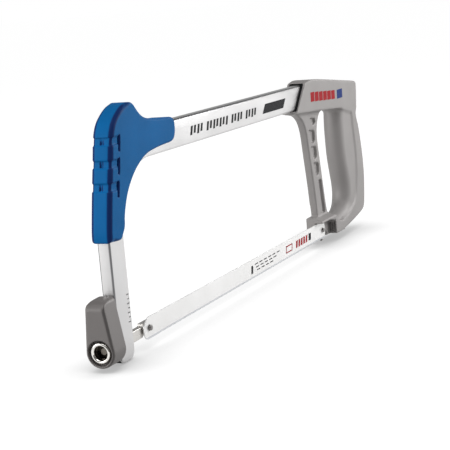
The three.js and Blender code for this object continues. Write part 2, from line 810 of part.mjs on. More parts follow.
piece("front_pin_45", pin45Body(0, FRONT_45, PIN_45_RADIUS, 1.8, 1.1), 0x6f7275, 0.3, 1);
piece("rear_pin_45", pin45Body(PIN_SPACING, REAR_45, PIN_45_RADIUS, 2.9, 4), 0x6f7275, 0.3, 1);
piece("blade", blade(), 0xe9ebec, 0.4, 0.2);

group.position.set(-MID_X, 0, -LEG_FOOT);

export default group;
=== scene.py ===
import math

import bmesh
import bpy
import numpy as np
from mathutils import Matrix, Vector


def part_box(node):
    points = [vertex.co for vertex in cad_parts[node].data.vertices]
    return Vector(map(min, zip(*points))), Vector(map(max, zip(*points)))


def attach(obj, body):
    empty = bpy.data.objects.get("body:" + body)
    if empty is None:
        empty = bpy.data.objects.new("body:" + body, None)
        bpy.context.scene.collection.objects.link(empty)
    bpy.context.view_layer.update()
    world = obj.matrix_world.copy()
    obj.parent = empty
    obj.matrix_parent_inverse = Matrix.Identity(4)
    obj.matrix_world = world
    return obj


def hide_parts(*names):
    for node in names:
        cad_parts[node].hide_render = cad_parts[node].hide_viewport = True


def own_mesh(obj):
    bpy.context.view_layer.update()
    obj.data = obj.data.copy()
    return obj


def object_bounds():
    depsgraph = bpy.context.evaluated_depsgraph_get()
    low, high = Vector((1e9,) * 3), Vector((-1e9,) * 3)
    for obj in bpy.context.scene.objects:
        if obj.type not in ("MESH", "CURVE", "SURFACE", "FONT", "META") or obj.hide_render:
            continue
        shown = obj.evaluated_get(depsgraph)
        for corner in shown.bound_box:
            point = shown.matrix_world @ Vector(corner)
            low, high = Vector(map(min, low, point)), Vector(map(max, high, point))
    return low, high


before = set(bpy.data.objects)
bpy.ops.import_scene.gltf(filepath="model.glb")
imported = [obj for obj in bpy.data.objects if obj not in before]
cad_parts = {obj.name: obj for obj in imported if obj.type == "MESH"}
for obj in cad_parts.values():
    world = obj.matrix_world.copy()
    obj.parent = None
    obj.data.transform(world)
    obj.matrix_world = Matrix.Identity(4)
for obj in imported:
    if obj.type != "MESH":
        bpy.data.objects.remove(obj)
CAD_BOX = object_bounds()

# Shapes are described in millimetres: X along the saw from the front blade pin, Y across it
# and Z up from the line of the blade's holes. ORIGIN is that point in the row frame.
PIN_LOW, PIN_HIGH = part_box("front_pin")
ORIGIN = Vector(((PIN_LOW.x + PIN_HIGH.x) / 2, 0, (PIN_LOW.z + PIN_HIGH.z) / 2))
MM = 0.001


def span(node):
    """The box of a CAD node in the millimetres used here: (lowest corner, highest corner)."""
    low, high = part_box(node)
    return (low - ORIGIN) / MM, (high - ORIGIN) / MM


# ---- outlines ----


def soften(points, default, most=0.45, steps=8):
    """A closed outline whose corners are quadratic curves. A point's third number is its own
    softness, and 0 keeps the corner."""
    out = []
    count = len(points)
    for i, point in enumerate(points):
        at = np.array(point[:2], float)
        own = point[2] if len(point) > 2 else default
        to_before = np.array(points[i - 1][:2], float) - at
        to_after = np.array(points[(i + 1) % count][:2], float) - at
        if own <= 0:
            out.append(at)
            continue
        length_in, length_out = np.linalg.norm(to_before), np.linalg.norm(to_after)
        start = at + to_before / length_in * min(own, length_in * most)
        end = at + to_after / length_out * min(own, length_out * most)
        for t in np.linspace(0, 1, steps + 1):
            out.append((1 - t) ** 2 * start + 2 * t * (1 - t) * at + t * t * end)
    return np.array(out)


def arc(centre, radius, start, end, steps):
    angles = np.linspace(start, end, steps + 1)
    return [(centre[0] + radius * math.cos(a), centre[1] + radius * math.sin(a)) for a in angles]


# ---- distance fields, for castings and mouldings whose edges run into each other ----


class Grid:
    """A block of sample points. The axes keep their own shapes, so fields broadcast."""

    def __init__(self, low, high, step):
        self.step = step
        self.low = np.array(low, float)
        lines = [a + step * np.arange(math.ceil((b - a) / step) + 1) for a, b in zip(low, high)]
        self.x, self.y, self.z = np.ix_(*lines)

    def flat(self, outline):
        """Distance from every point to an outline in X and Z."""
        return outline_distance(outline, self.x[:, :, 0], self.z[0])[:, None, :]


def around(node, margin, step):
    """A grid over the box of a CAD node and a margin round it."""
    low, high = span(node)
    return Grid([v - margin for v in low], [v + margin for v in high], step)


def outline_distance(outline, u, v):
    """Signed distance from points to a closed outline, negative inside."""
    shape = np.broadcast(u, v).shape
    nearest = np.full(shape, 1e9)
    inside = np.zeros(shape, bool)
    count = len(outline)
    for i in range(count):
        a, b = outline[i], outline[(i + 1) % count]
        edge = b - a
        length = float(edge @ edge)
        if length < 1e-12:
            continue
        t = np.clip(((u - a[0]) * edge[0] + (v - a[1]) * edge[1]) / length, 0, 1)
        gap = (u - a[0] - t * edge[0]) ** 2 + (v - a[1] - t * edge[1]) ** 2
        nearest = np.minimum(nearest, gap)
        if a[1] != b[1]:
            crosses = (a[1] > v) != (b[1] > v)
            inside ^= crosses & (u < a[0] + (v - a[1]) * edge[0] / edge[1])
    return np.where(inside, -1, 1) * np.sqrt(nearest)


def rounded(across, along, radius):
    """Two distances met in an edge of that radius."""
    a, b = across + radius, along + radius
    return np.minimum(np.maximum(a, b), 0) + np.hypot(np.maximum(a, 0), np.maximum(b, 0)) - radius


def join(a, b, blend):
    """Union of two fields with a fillet."""
    near = np.maximum(blend - np.abs(a - b), 0) / blend
    return np.minimum(a, b) - near * near * blend / 4


def cut(a, b, blend):
    """Field a without b, the new edge softened."""
    return -join(-a, b, blend)


def past(grid, x, y, z):
    """How far points are past a box along each axis; each argument is a (low, high) pair."""
    pairs = ((grid.x, x), (grid.y, y), (grid.z, z))
    return [np.abs(axis - (low + high) / 2) - (high - low) / 2 for axis, (low, high) in pairs]


def block(grid, x, y, z):
    """A plain box as a field."""
    ax, ay, az = past(grid, x, y, z)
    return np.maximum(np.maximum(ax, ay), az)


CORNERS = [(0, 0, 0), (1, 0, 0), (0, 1, 0), (1, 1, 0), (0, 0, 1), (1, 0, 1), (0, 1, 1), (1, 1, 1)]


def field_mesh(name, grid, field):
    """The zero surface of a field as a mesh of quads (surface nets)."""
    field = np.asarray(field, float)
    inside = field < 0
    cells = tuple(n - 1 for n in field.shape)
    total = np.zeros(cells + (3,))
    found = np.zeros(cells, int)

    def at(corner, array):
        return array[tuple(slice(c, c + n) for c, n in zip(corner, cells))]

    for i, a in enumerate(CORNERS):
        for b in CORNERS[i + 1:]:
            step = [q - p for p, q in zip(a, b)]
            if sum(abs(s) for s in step) != 1:
                continue
            fa, fb = at(a, field), at(b, field)
            crossing = at(a, inside) != at(b, inside)
            t = np.where(crossing, fa / np.where(crossing, fa - fb, 1), 0)
            for axis in range(3):
                total[..., axis] += np.where(crossing, a[axis] + t * step[axis], 0)
            found += crossing
    used = found > 0
    number = np.full(cells, -1)
    number[used] = np.arange(used.sum())
    corner = np.argwhere(used)
    points = corner + total[used] / found[used][:, None]
    points = grid.low + points * grid.step
    quads = []
    for axis in range(3):
        u, v = (axis + 1) % 3, (axis + 2) % 3
        low, high = [slice(None)] * 3, [slice(None)] * 3
        low[axis], high[axis] = slice(0, -1), slice(1, None)
        first, second = inside[tuple(low)], inside[tuple(high)]
        for here, flip in ((first & ~second, False), (second & ~first, True)):
            where = np.argwhere(here)
            where = where[(where[:, u] > 0) & (where[:, v] > 0)]
            where = where[(where[:, u] < cells[u]) & (where[:, v] < cells[v])]
            ring = []
            for du, dv in ((1, 1), (0, 1), (0, 0), (1, 0)):
                cell = where.copy()
                cell[:, u] -= du
                cell[:, v] -= dv
                ring.append(number[tuple(cell.T)])
            quads.append(np.stack(ring[::-1] if flip else ring, axis=1))
    return make(name, points, np.concatenate(quads).tolist())


# ---- meshes ----


def make(name, points, faces):
    """A new mesh object from points in millimetres."""
    mesh = bpy.data.meshes.new(name)
    co = np.array(points, float) * MM + np.array(ORIGIN)
    mesh.from_pydata(co.tolist(), [], faces)
    mesh.validate()
    piece = bpy.data.objects.new(name, mesh)
    bpy.context.scene.collection.objects.link(piece)
    return piece


def face_outwards(piece, merge=None):
    """Turns the faces outwards, once points closer than merge are made one."""
    bm = bmesh.new()
    bm.from_mesh(piece.data)
    if merge:
        bmesh.ops.remove_doubles(bm, verts=bm.verts, dist=merge)
    bmesh.ops.recalc_face_normals(bm, faces=bm.faces)
    bm.to_mesh(piece.data)
    bm.free()


def offset(outline, distance):
    """The outline moved outwards along its corners' normals (inwards if negative)."""
    before = outline - np.roll(outline, 1, axis=0)
    after = np.roll(outline, -1, axis=0) - outline
    normals = []
    for a, b in zip(before, after):
        a, b = a / max(np.linalg.norm(a), 1e-9), b / max(np.linalg.norm(b), 1e-9)
        na, nb = np.array([a[1], -a[0]]), np.array([b[1], -b[0]])
        middle = na + nb
        middle /= max(np.linalg.norm(middle), 1e-9)
        normals.append(middle / max(middle @ na, 0.4))
    area = np.sum(outline[:, 0] * np.roll(outline[:, 1], -1) - np.roll(outline[:, 0], -1) * outline[:, 1])
    return outline + np.array(normals) * distance * (1 if area > 0 else -1)


def slab(name, outline, low, high, rim=0.0, steps=4, axes=(0, 2, 1)):
    """An outline given thickness, with rounded rims. axes are the two axes of the outline and
    then the one across it."""
    rings = []
    for side, level in ((-1, low), (1, high)):
        ring = []
        for i in range(steps + 1 if rim else 1):
            turn = math.pi / 2 * i / max(steps, 1)
            inset = rim * (1 - math.cos(turn)) if rim else 0
            depth = level - side * rim * (1 - math.sin(turn)) if rim else level
            ring.append((inset, depth))
        rings += ring[::-1] if side < 0 else ring
    points, faces = [], []
    count = len(outline)
    for inset, depth in rings:
        for u, v in offset(outline, -inset):
            point = [0, 0, 0]
            point[axes[0]], point[axes[1]], point[axes[2]] = u, v, depth
            points.append(point)
    for k in range(len(rings) - 1):
        for i in range(count):
            j = (i + 1) % count
            faces.append([k * count + i, k * count + j, (k + 1) * count + j, (k + 1) * count + i])
    faces.append(list(range(count))[::-1])
    faces.append([(len(rings) - 1) * count + i for i in range(count)])
    return make(name, points, faces)


def turned(name, profile, centre, axis, sides=56):
    """A profile of (radius, distance) turned about an axis through centre."""
    points, faces = [], []
    axis = Vector(axis).normalized()
    across = axis.orthogonal().normalized()
    other = axis.cross(across)
    centre = Vector(centre)
    rows = []
    for radius, along in profile:
        row = range(sides if radius else 1)
        rows.append([len(points) + i for i in row])
        for i in row:
            turn = 2 * math.pi * i / sides
            outward = across * math.cos(turn) + other * math.sin(turn)
            points.append(centre + axis * along + outward * radius)
    for a, b in zip(rows, rows[1:]):
        for i in range(sides):
            j = (i + 1) % sides
            ring = dict.fromkeys([a[i % len(a)], a[j % len(a)], b[j % len(b)], b[i % len(b)]])
            if len(ring) > 2:
                faces.append(list(ring))
    return make(name, points, faces)


def carve(piece, *cutters):
    """Takes the cutters out of the piece and removes them."""
    for solid in (piece, *cutters):
        face_outwards(solid)
    bpy.context.view_layer.update()
    for cutter in cutters:
        modifier = piece.modifiers.new("carve", "BOOLEAN")
        modifier.operation = "DIFFERENCE"
        modifier.solver = "EXACT"
        modifier.object = cutter
    bpy.context.view_layer.update()
    baked = bpy.data.meshes.new_from_object(piece.evaluated_get(bpy.context.evaluated_depsgraph_get()))
    piece.modifiers.clear()
    old = piece.data
    piece.data = baked
    baked.name = piece.name
    bpy.data.meshes.remove(old)
    for cutter in cutters:
        bpy.data.objects.remove(cutter)
    return piece


def brick(x, y, z):
    """A plain box, only ever used to cut."""
    corners = np.array([(x[0], z[0]), (x[1], z[0]), (x[1], z[1]), (x[0], z[1])], float)
    return slab("cutter", corners, y[0], y[1])


def drill(radius, start, end, centre, axis, sides):
    """A cylinder between two distances along its axis, only ever used to cut."""
    profile = [(0, start), (radius, start), (radius, end), (0, end)]
    return turned("cutter", profile, centre, axis, sides)


def settle(piece, angle, body, material, replaced=()):
    """Finishes a piece's mesh, with edges sharper than angle kept, and gives it to its body."""
    face_outwards(piece, 1e-7)
    for polygon in piece.data.polygons:
        polygon.use_smooth = True
    piece.data.set_sharp_from_angle(angle=math.radians(angle))
    piece.data.materials.clear()
    piece.data.materials.append(material)
    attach(piece, body)
    if replaced:
        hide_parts(*replaced)
    return piece


# ---- materials ----


def plug(tree, socket, value):
    """Links another node's output to the socket, or sets a constant on it."""
    if isinstance(value, bpy.types.NodeSocket):
        tree.links.new(value, socket)
    else:
        socket.default_value = value


def add_node(tree, kind, **inputs):
    made = tree.nodes.new(kind)
    for key, value in inputs.items():
        plug(tree, made.inputs[key.replace("_", " ")], value)
    return made


class Paint:
    """A node material around one Principled shader."""

    def __init__(self, name, **values):
        self.material = bpy.data.materials.new(name)
        self.material.use_nodes = True
        self.tree = self.material.node_tree
        self.shader = self.tree.nodes["Principled BSDF"]
        for key, value in values.items():
            self.shader.inputs[key.replace("_", " ")].default_value = value
        self.where = self.node("ShaderNodeTexCoord").outputs["Object"]

    def node(self, kind, **inputs):
        return add_node(self.tree, kind, **inputs)

    def stretch(self, scale):
        """The object's coordinates with each axis scaled, so a pattern runs along the saw."""
        return self.node("ShaderNodeMapping", Vector=self.where, Scale=scale).outputs["Vector"]

    def noise(self, where, scale, detail=3.0, roughness=0.55):
        made = self.node("ShaderNodeTexNoise", Vector=where, Scale=scale, Detail=detail, Roughness=roughness)
        return made.outputs["Fac"]

    def ramp(self, value, low, high, first, last):
        """Maps value from low..high to two colours."""
        made = self.node("ShaderNodeValToRGB", Fac=value)
        for element, at, colour in zip(made.color_ramp.elements, (low, high), (first, last)):
            element.position = at
            element.color = (*colour, 1)
        return made.outputs["Color"]

    def clouds(self, size, colour, darker, lighter, low=0.3, high=0.7):
        """Faint clouds, as a number and as the colour between two shares of itself."""
        cloud = self.noise(self.where, size)
        dark, light = ([min(c * share, 1) for c in colour] for share in (darker, lighter))
        return cloud, self.ramp(cloud, low, high, dark, light)

    def number(self, value, low, high, first, last):
        return self.node("ShaderNodeMapRange", Value=value, From_Min=low, From_Max=high,
                         To_Min=first, To_Max=last).outputs["Result"]

    def mix(self, factor, a, b):
        """Output a, with the plain colour b laid over it."""
        made = self.tree.nodes.new("ShaderNodeMix")
        made.data_type = "RGBA"
        plug(self.tree, made.inputs[0], factor)
        plug(self.tree, made.inputs[6], a)
        plug(self.tree, made.inputs[7], (*b, 1))
        return made.outputs[2]

    def math(self, operation, a, b=0.0):
        made = self.tree.nodes.new("ShaderNodeMath")
        made.operation = operation
        plug(self.tree, made.inputs[0], a)
        plug(self.tree, made.inputs[1], b)
        return made.outputs[0]

    def feed(self, key, value):
        self.tree.links.new(value, self.shader.inputs[key])

    def bump(self, height, strength, distance):
        made = self.node("ShaderNodeBump", Height=height, Strength=strength, Distance=distance)
        self.feed("Normal", made.outputs["Normal"])

    def facing(self):
        """The surface's own direction, as X, Y and Z sockets."""
        normal = self.node("ShaderNodeTexCoord").outputs["Normal"]
        return self.node("ShaderNodeSeparateXYZ", Vector=normal).outputs

    def half_sideways(self, facing):
        """Largest where the surface faces half to the side, as a rounded rim does."""
        sideways = self.math("ABSOLUTE", facing["Y"])
        along = self.math("SQRT", self.math("SUBTRACT", 1.0, self.math("MULTIPLY", sideways, sideways)))
        return self.math("MULTIPLY", sideways, along)

    def painted_shade_rim(self):
        """1 on rounded rims, fading on those that face backwards, where painted shade darkens the colour."""
        facing = self.facing()
        forward = self.number(facing["X"], -0.25, 0.0, 1.0, 0.25)
        rim = self.number(self.half_sideways(facing), 0.10, 0.30, 0.0, 0.9)
        return self.math("MULTIPLY", rim, forward)

    def painted_shade_face_rim(self):
        """1 on the rounded rim between the front face and the near side, where painted shade darkens the
        colour.
        """
        facing = self.facing()
        turned_away = self.math("MULTIPLY", facing["X"], facing["Y"])
        return self.number(turned_away, 0.2, 0.42, 0.0, 0.8)

    def painted_dark_corner_line(self):
        """1 in a narrow line along rounded corners that face forwards or up, where a dark line of painted
        shade goes.
        """
        facing = self.facing()
        outer = self.number(self.math("SUBTRACT", facing["Z"], facing["X"]), 0.05, 0.25, 0.0, 1.0)
        rim = self.number(self.half_sideways(facing), 0.20, 0.42, 0.0, 1.0)
        return self.math("MULTIPLY", rim, outer)

    def worn_edges(self, radius, low, high):
        """1 on corners that stand out, 0 elsewhere."""
        bevel = self.node("ShaderNodeBevel", Radius=radius)
        bevel.samples = 4
        dot = self.node("ShaderNodeVectorMath")
        dot.operation = "DOT_PRODUCT"
        plug(self.tree, dot.inputs[0], bevel.outputs[0])
        plug(self.tree, dot.inputs[1], self.node("ShaderNodeNewGeometry").outputs["Normal"])
        return self.number(dot.outputs["Value"], high, low, 0, 1)


def brushed(name, colour, roughness, metallic, along=(1, 1, 1), grain=900.0):
    """Satin metal with fine drawn lines and a slight unevenness."""
    paint = Paint(name, Metallic=metallic)
    lines = paint.noise(paint.stretch(along), grain, 4.0, 0.65)
    cloud, base = paint.clouds(22.0, colour, 0.95, 1.03, 0.35, 0.68)
    paint.feed("Base Color", base)
    rough = paint.math("ADD", paint.number(lines, 0.3, 0.7, roughness - 0.05, roughness + 0.06),
                       paint.number(cloud, 0.3, 0.7, -0.025, 0.025))
    paint.feed("Roughness", rough)
    paint.bump(lines, 0.10, 0.00012)
    return paint.material


def cast(name, colour, roughness, metallic, peel, painted_rim_shade=None):
    """Painted or blasted casting: fine orange peel, faint clouds, lighter rubbed corners and, where a rim
    colour is given, painted shade on the rim between the front face and the near side.
    """
    paint = Paint(name, Metallic=metallic)
    grain = paint.noise(paint.where, 2600.0, 3.0, 0.6)
    swell = paint.noise(paint.where, 420.0, 2.0)
    base = paint.clouds(26.0, colour, 0.93, 1.05)[1]
    worn = paint.math("MULTIPLY", paint.worn_edges(0.0006, 0.80, 0.97), 0.2)
    base = paint.mix(worn, base, [min(c * 1.35, 1) for c in colour])
    if painted_rim_shade:
        # Painted shade: the rim between the front face and the near side takes a darker colour.
        base = paint.mix(paint.painted_shade_face_rim(), base, painted_rim_shade)
    paint.feed("Base Color", base)
    paint.feed("Roughness", paint.number(grain, 0.3, 0.7, roughness - 0.05, roughness + 0.06))
    height = paint.math("ADD", grain, paint.math("MULTIPLY", swell, 1.5))
    paint.bump(height, peel, 0.00008)
    return paint.material


def moulded(name, colour, roughness, grain_size=1500.0, depth=0.25, painted_rim_shade=None):
    """Moulded plastic with a fine spark-eroded grain, slight fading and, where a rim colour is given,
    painted shade darkening the rounded corners.
    """
    paint = Paint(name, Specular_IOR_Level=0.05)
    grain = paint.noise(paint.where, grain_size, 4.0, 0.6)
    base = paint.clouds(30.0, colour, 0.90, 1.08)[1]
    if painted_rim_shade:
        # Painted shade: the rim colour darkens the rounded rims, standing in for the dark the corners take
        # from the lighting.
        base = paint.mix(paint.painted_shade_rim(), base, painted_rim_shade)
    paint.feed("Base Color", base)
    paint.feed("Roughness", paint.number(grain, 0.3, 0.7, roughness - 0.06, roughness + 0.08))
    paint.bump(grain, depth, 0.00006)
    return paint.material


def printed(name, colour):
    """Ink printed on the metal, a little thin in places."""
    paint = Paint(name, Roughness=0.6, Specular_IOR_Level=0.08)
    cloud = paint.noise(paint.where, 900.0, 3.0)
    thin = [min(c * 1.15 + 0.015, 1) for c in colour]
    paint.feed("Base Color", paint.ramp(cloud, 0.3, 0.75, colour, thin))
    return paint.material


def blade_paint():
    """White paint on steel, scuffed, with a strip of bare metal along the teeth."""
    paint = Paint("blade_paint_look")
    lines = paint.noise(paint.stretch((0.05, 1, 1)), 1400.0, 4.0, 0.6)
    cloud = paint.noise(paint.where, 35.0, 3.0)
    white = paint.ramp(cloud, 0.3, 0.7, (0.86, 0.855, 0.845), (0.91, 0.905, 0.90))
    height = paint.node("ShaderNodeSeparateXYZ", Vector=paint.where).outputs["Z"]
    ragged = paint.math("ADD", height, paint.math("MULTIPLY", lines, 0.4 * MM))
    bare_strip = 1.5
    edge = (span("blade")[0].z + bare_strip) * MM + ORIGIN.z
    bare = paint.number(ragged, edge + 0.2 * MM, edge - 0.1 * MM, 0, 1)
    paint.feed("Base Color", paint.mix(bare, white, (0.55, 0.56, 0.58)))
    paint.feed("Metallic", paint.number(bare, 0, 1, 0.45, 1))
    paint.feed("Roughness", paint.number(lines, 0.3, 0.7, 0.36, 0.48))
    paint.bump(lines, 0.06, 0.00005)
    return paint.material


def drawn_tube():
    """Aluminium whose faint lines run along the tube, down the leg and round the bend, with a painted dark
    line of shade along its rounded corners.
    """
    paint = Paint("aluminium_look", Metallic=1.0)
    place = paint.node("ShaderNodeSeparateXYZ", Vector=paint.where)
    centre = ORIGIN + Vector((LEG_BACK + BEND, 0, BAR_UNDER - BEND)) * MM
    ahead = paint.math("MINIMUM", paint.math("SUBTRACT", place.outputs["X"], centre.x), 0.0)
    above = paint.math("MAXIMUM", paint.math("SUBTRACT", place.outputs["Z"], centre.z), 0.0)
    across = paint.math("SQRT", paint.math("ADD", paint.math("MULTIPLY", ahead, ahead),
                                           paint.math("MULTIPLY", above, above)))
    along = paint.math("MULTIPLY", paint.math("ADD", place.outputs["X"], place.outputs["Z"]), 0.03)
    drawn = paint.node("ShaderNodeCombineXYZ", X=across, Y=place.outputs["Y"], Z=along).outputs["Vector"]
    lines = paint.noise(drawn, 900.0, 4.0, 0.65)
    cloud = paint.noise(paint.where, 22.0, 3.0)
    base = paint.ramp(cloud, 0.35, 0.68, (0.55, 0.545, 0.545), (0.60, 0.595, 0.595))
    # Painted shade: a dark line along the tube's rounded corners, standing in for the dark they reflect.
    paint.feed("Base Color", paint.mix(paint.painted_dark_corner_line(), base, (0.17, 0.17, 0.175)))
    rough = paint.math("ADD", paint.number(lines, 0.3, 0.7, 0.31, 0.41),
                       paint.number(cloud, 0.3, 0.7, -0.02, 0.02))
    paint.feed("Roughness", rough)
    paint.bump(lines, 0.08, 0.0001)
    return paint.material


NICKEL = brushed("nickel_look", (0.60, 0.585, 0.56), 0.44, 1.0, (0.1, 1, 1))
STEEL = brushed("steel_look", (0.55, 0.56, 0.57), 0.32, 1.0)
PIN_STEEL = brushed("pin_look", (0.20, 0.19, 0.185), 0.34, 1.0)
CHROME = brushed("chrome_look", (0.78, 0.76, 0.72), 0.12, 1.0, (1, 1, 1), 500.0)
# Oily steel, made darker still as painted shade for the unlit inside of the nut.
OIL_AND_SHADE_STEEL = brushed("oil_and_shade_look", (0.16, 0.145, 0.125), 0.26, 1.0)
CASTING = cast("handle_look", (0.315, 0.299, 0.293), 0.56, 0.12, 0.16)
# The lever's darker rim colour is painted shade between its front face and near side.
LEVER_LOOK = cast("lever_look", (0.178, 0.165, 0.160), 0.50, 0.15, 0.18, (0.075, 0.068, 0.065))
# The grip's dark navy rim colour is painted shade on its rounded corners.
BLUE = moulded("grip_look", (0.005, 0.138, 0.39), 0.46, painted_rim_shade=(0.010, 0.020, 0.11))
BLACK = moulded("black_look", (0.018, 0.018, 0.02), 0.55)
BLADE_LOOK = blade_paint()
INK_BLACK = printed("ink_black", (0.012, 0.012, 0.014))
INK_GREY = printed("ink_grey", (0.20, 0.20, 0.20))
INK_RED = printed("ink_red", (0.36, 0.010, 0.016))
INK_BLUE = printed("ink_blue", (0.012, 0.035, 0.17))

# ---- frame tube ----

TUBE_LOW, TUBE_HIGH = span("frame_tube")
TUBE_DEPTH = 17.5
TUBE_HALF = TUBE_HIGH.y
TUBE_WALL = 1.2
LEG_FRONT = TUBE_LOW.x
LEG_BACK = LEG_FRONT + TUBE_DEPTH
BAR_TOP = TUBE_HIGH.z
BAR_UNDER = BAR_TOP - TUBE_DEPTH
BAR_END = TUBE_HIGH.x
LEG_FOOT = TUBE_LOW.z
BEND = 40.0
FOOT_ROUND = 6.0
ROD_HOLE = 2.8
SLOT_TALL = 7.1  # of the slot in the back of the leg that keeps the blade holder upright
LEG_NOTCHES = 5
ROD_Z = (span("tension_rod")[0].z + span("tension_rod")[1].z) / 2
ALUMINIUM = drawn_tube()


def tube_outline(grow, foot, end, foot_round, steps=40):
    """Side outline of the tube, grown outwards by grow."""
    centre = (LEG_BACK + BEND, BAR_UNDER - BEND)
    front, back = LEG_FRONT - grow, LEG_BACK + grow
    points = arc((front + foot_round, foot + foot_round), foot_round, math.pi, 1.5 * math.pi, 8)
    points += arc((back - foot_round, foot + foot_round), foot_round, -math.pi / 2, 0, 8)
    points += arc(centre, BEND - grow, math.pi, math.pi / 2, steps)
    points += [(end, BAR_UNDER - grow), (end, BAR_TOP + grow)]
    points += arc(centre, BEND + TUBE_DEPTH + grow, math.pi / 2, math.pi, steps)
    return np.array(points)


def make_tube():
    outline = tube_outline(0, LEG_FOOT, BAR_END, FOOT_ROUND)
    tube = slab("tube", outline, -TUBE_HALF, TUBE_HALF, 1.4, 6)
    through = 20
    inner = tube_outline(-TUBE_WALL, LEG_FOOT - through, BAR_END + through, 0.5)
    wall = TUBE_HALF - TUBE_WALL
    cutters = [slab("cutter", inner, -wall, wall)]
    cutters.append(drill(ROD_HOLE, LEG_FRONT - 2, LEG_FRONT + 6, (0, 0, ROD_Z), (1, 0, 0), 32))
    slot = (ROD_Z - SLOT_TALL / 2, ROD_Z + SLOT_TALL / 2)
    cutters.append(brick((LEG_BACK - 4, LEG_BACK + 2), (-ROD_HOLE, ROD_HOLE), slot))
    back, side = LEG_BACK - 1.2, (-TUBE_HALF - 1, -TUBE_HALF + 0.15)
    for i in range(LEG_NOTCHES):
        z = 10 + i * 3.3
        length = 1.6 if i % 2 else 2.6
        cutters.append(brick((back - length, back), side, (z, z + 0.6)))
    carve(tube, *cutters)
    settle(tube, 32, "frame", ALUMINIUM, ["frame_tube"])


# ---- front grip ----

GRIP_HALF = span("front_grip")[1].y
GRIP_FRONT = [
    (-39.3, 56.8, 1.2), (-39.3, 62, 5), (-35.4, 80, 9), (-29.8, 102, 9), (-27.2, 114, 7),
    (-22.4, 122.4, 6), (-10.5, 129.6, 6),
]
GRIP_REST = [
    (0.4, 131, 4), (11.5, 120.4, 9), (28, 117.6, 9), (52.6, 116.4, 6), (54, 109, 7),
    (50.4, 101.8, 6), (30, 101.2, 12), (12, 99.2, 14), (-3, 91.8, 14), (-14, 81.4, 14),
    (-20.1, 69.2, 10), (-20.6, 63, 3), (-26.2, 56.8, 1.5),
]
BANDS = [(109.2, 113.6), (96.9, 101.2), (84.6, 88.9)]  # lowest and highest Z of each sunken band
BAND_DEEP = 0.8
BAND_LONG = 9.4
SLIT_TALL = 8.7
SLIT_DEEP = 1.5
TUNNEL_GAP = 0.3


def grip_front_at(z):
    """X of the grip's front at a height, or at each of many."""
    return np.interp(z, [p[1] for p in GRIP_FRONT], [p[0] for p in GRIP_FRONT])


def make_grip():
    grid = around("front_grip", 1.5, 0.5)
    wide = np.abs(grid.y)
    across = wide - (GRIP_HALF - 0.02)
    flat = grid.flat(soften(GRIP_FRONT + GRIP_REST, 4))
    rim = 1.2 + 1.8 * np.clip((10 - (grid.x - grip_front_at(grid.z))) / 5, 0, 1)
    body = rounded(flat, across, rim)
    set_back = [(x + BAND_DEEP, z, r) for x, z, r in GRIP_FRONT]
    core = rounded(grid.flat(soften(set_back + GRIP_REST, 4)), across + BAND_DEEP, 1.6)
    for bottom, top in BANDS:
        front = float(grip_front_at((bottom + top) / 2))
        end = front + BAND_LONG
        band = cut(block(grid, (-60, end), (-20, 20), (bottom, top)), core, 0.3)
        body = cut(body, band, 0.35)
        notch = block(grid, (front - 3, front + 1.35), (-0.6, 0.6), (bottom + 0.5, top - 0.5))
        body = cut(body, notch, 0.5)
        slit_top = top + 0.3
        slit = np.array([
            (end - 0.4, slit_top), (end + 1.0, slit_top),
            (end - 0.9, slit_top - SLIT_TALL), (end - 2.3, slit_top - SLIT_TALL),
        ])
        body = cut(body, np.maximum(grid.flat(slit), GRIP_HALF - SLIT_DEEP - wide), 0.35)
    tunnel = grid.flat(tube_outline(TUNNEL_GAP, LEG_FOOT - 5, BAR_END, 0.5))
    tunnel = np.maximum(tunnel, wide - TUBE_HALF - TUNNEL_GAP)
    body = cut(body, tunnel, 0.3)
    grip = field_mesh("grip", grid, body)
    settle(grip, 50, "frame", BLUE, ["front_grip"])


# ---- handle ----

SKIN = 0.03  # how far the casting stays inside its CAD node
HANDLE_HALF = span("handle")[1].y - SKIN
HANDLE_BACK = span("handle")[1].x - SKIN
GUARD_HALF = 3.0
SEAT = -3.3  # Y of the face that the blade lies against
BLOCK = [
    (278.5, 115.4, 0), (288, 117, 7), (300, 116.6, 12), (340, 112.4, 14), (385, 107.7, 8),
    (391.8, 106.4, 4), (388.4, 84, 3), (374, 84, 6), (357, 87.6, 6), (345, 89.4, 3), (307, 91.8, 3),
    (258.4, 94.4, 0),
]
REAR_GRIP = [
    (352, 99, 0), (350, 86, 10), (348.5, 72, 10), (349.5, 50, 12), (353, 37, 12), (357.5, 22, 10),
    (354, 11, 9), (334, 5.6, 6), (326, 5, 0), (326, -7.4, 0), (345, -6.4, 12), (357, -4.9, 12),
    (379, -1.8, 10), (393.4, 1, 7), (396.4, 12, 12), (399, 28, 16), (399, 42, 18), (395.4, 60, 14),
    (392, 71, 6), (387, 78, 6), (386, 99, 0),
]
GRIP_STRIP = [
    (338, -6.7, 0), (357, -4.5, 12), (378.5, -1.4, 10), (391.6, 1.6, 5), (394.8, 12, 8),
    (397.4, 27, 14), (397.4, 42, 16), (394, 60, 12), (391, 71, 6), (387, 78, 6), (386, 99, 0), (374, 99, 0),
    (376, 72, 10), (380, 50, 10), (378, 30, 10), (372, 12, 10), (352, 4, 6), (338, 2, 0),
]
GUARD = [
    (257, 100, 0), (257, 95.4, 0), (270, 92.2, 8), (280, 86.6, 8), (285.5, 77, 8), (288, 60, 12),
    (292.5, 37, 12), (296.5, 6, 0), (322, 4, 0), (317.5, 14, 5), (315.4, 24, 8), (311, 50, 12),
    (307.2, 72, 9), (309.6, 82, 6), (319.5, 92.4, 4), (319.5, 100, 0),
]
FOOT = [
    (287.4, 13.4, 0), (316, 13.4, 4), (321, 7.6, 3), (328, 2.6, 3), (339, 1.2, 0), (339, -6.6, 0),
    (319, -6.4, 0), (317, -6.2, 0), (287.4, -6.2, 0),
]
